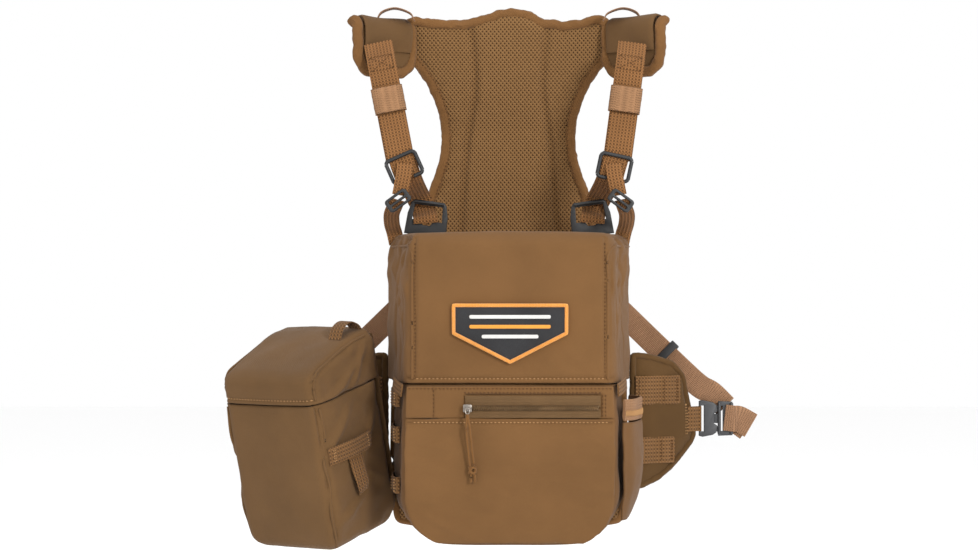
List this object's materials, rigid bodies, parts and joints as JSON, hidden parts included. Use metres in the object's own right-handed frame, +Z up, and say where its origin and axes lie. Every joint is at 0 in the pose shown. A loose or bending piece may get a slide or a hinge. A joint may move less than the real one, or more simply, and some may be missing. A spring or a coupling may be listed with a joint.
{
  "type": "binocular harness pack",
  "caption": "Chest pouch with forward-opening lid, zipped pocket, mesh back yoke, adjustable webbing, belt wings with side-release buckles and an accessory pouch.",
  "frame": {"origin": "middle of the shoulder line that carries the yoke", "axes": "+Z up, -Y out of the front of the pouch, +X to the right as seen from the front"},
  "size_m": [0.4507, 0.194, 0.4589],
  "materials": {
    "pack_cloth": "woven",
    "yoke_mesh": "woven",
    "webbing": "woven",
    "elastic": "woven",
    "belt_webbing": "woven",
    "accessory_cloth": "woven",
    "wing_cloth": "woven",
    "black_plastic": "satin",
    "grey_plastic": "satin",
    "zip_tape": "woven",
    "zip_metal": "satin",
    "patch_field": "woven",
    "patch_border": "woven",
    "cord": "woven"
  },
  "bodies": {
    "harness": {"accessory_back": "accessory_cloth", "accessory_body": "accessory_cloth", "accessory_hang_loop": "webbing", "accessory_mount_strap": "webbing", "accessory_side_band": "webbing", "attach_buckle_l": "black_plastic", "attach_buckle_r": "black_plastic", "back_panel": "pack_cloth", "belt_strap_l": "belt_webbing", "belt_strap_r": "belt_webbing", "buckle_housing_l": "grey_plastic", "buckle_housing_r": "grey_plastic", "buckle_tab_l": "webbing", "buckle_tab_r": "webbing", "front_pocket": "pack_cloth", "grab_loop_l": "belt_webbing", "grab_loop_r": "belt_webbing", "lower_strap_l": "webbing", "lower_strap_r": "webbing", "main_body": "pack_cloth", "shoulder_lobe_l": "pack_cloth", "shoulder_lobe_r": "pack_cloth", "shoulder_webbing_l": "webbing", "shoulder_webbing_r": "webbing", "side_loop_1": "webbing", "side_loop_2": "webbing", "side_loop_3": "webbing", "side_sleeve": "pack_cloth", "sleeve_elastic": "elastic", "tether_adjuster_l": "grey_plastic", "tether_adjuster_r": "grey_plastic", "tether_tail_l": "webbing", "tether_tail_r": "webbing", "tether_web_l": "webbing", "tether_web_r": "webbing", "upper_frame_l": "black_plastic", "upper_frame_r": "black_plastic", "wing_l": "wing_cloth", "wing_r": "wing_cloth", "wing_webbing_r_1": "webbing", "wing_webbing_r_2": "webbing", "yoke_pad": "yoke_mesh", "zip_coil": "zip_metal", "zip_tape": "zip_tape"},
    "main_lid": {"main_lid": "pack_cloth", "patch_field": "patch_field", "patch_border": "patch_border"},
    "accessory_lid": {"accessory_lid": "accessory_cloth", "accessory_pull_loop": "belt_webbing"},
    "zip_slider": {"zip_slider": "zip_metal"},
    "zip_pull": {"zip_pull_cord": "cord"},
    "webbing_keeper_l": {"webbing_keeper_l": "elastic"},
    "belt_keeper_l": {"belt_keeper_l": "black_plastic"},
    "plug_l": {"buckle_plug_l": "grey_plastic", "belt_tail_l": "belt_webbing"},
    "webbing_keeper_r": {"webbing_keeper_r": "elastic"},
    "belt_keeper_r": {"belt_keeper_r": "black_plastic"},
    "plug_r": {"buckle_plug_r": "grey_plastic", "belt_tail_r": "belt_webbing"}
  },
  "joints": [
    {"name": "main_lid_hinge", "type": "hinge", "parent": "harness", "child": "main_lid", "pos_m": [0, -0.106, -0.3045], "axis": [1, 0, 0], "range_deg": [0, 105]},
    {"name": "accessory_lid_hinge", "type": "hinge", "parent": "harness", "child": "accessory_lid", "pos_m": [-0.20008, -0.08432, -0.32324], "axis": [0.8192, -0.5736, 0], "range_deg": [0, 95]},
    {"name": "zip_slide", "type": "slide", "parent": "harness", "child": "zip_slider", "axis": [1, 0, 0], "range_m": [0, 0.1]},
    {"name": "zip_pull_swing", "type": "hinge", "parent": "zip_slider", "child": "zip_pull", "pos_m": [-0.0345, -0.115, -0.329], "axis": [0, 1, 0], "range_deg": [-40, 40]},
    {"name": "webbing_keeper_slide_l", "type": "slide", "parent": "harness", "child": "webbing_keeper_l", "axis": [0.1895, -0.1191, -0.9746], "range_m": [-0.012, 0.022]},
    {"name": "belt_keeper_slide_l", "type": "slide", "parent": "harness", "child": "belt_keeper_l", "axis": [-0.7007, -0.2041, -0.6837], "range_m": [-0.02, 0.004]},
    {"name": "buckle_release_l", "type": "slide", "parent": "harness", "child": "plug_l", "axis": [-1, 0, 0], "range_m": [0, 0.022]},
    {"name": "webbing_keeper_slide_r", "type": "slide", "parent": "harness", "child": "webbing_keeper_r", "axis": [-0.1366, -0.1202, -0.9833], "range_m": [-0.012, 0.022]},
    {"name": "belt_keeper_slide_r", "type": "slide", "parent": "harness", "child": "belt_keeper_r", "axis": [0.7007, -0.2041, -0.6837], "range_m": [-0.02, 0.004]},
    {"name": "buckle_release_r", "type": "slide", "parent": "harness", "child": "plug_r", "axis": [1, 0, 0], "range_m": [0, 0.022]}
  ]
}
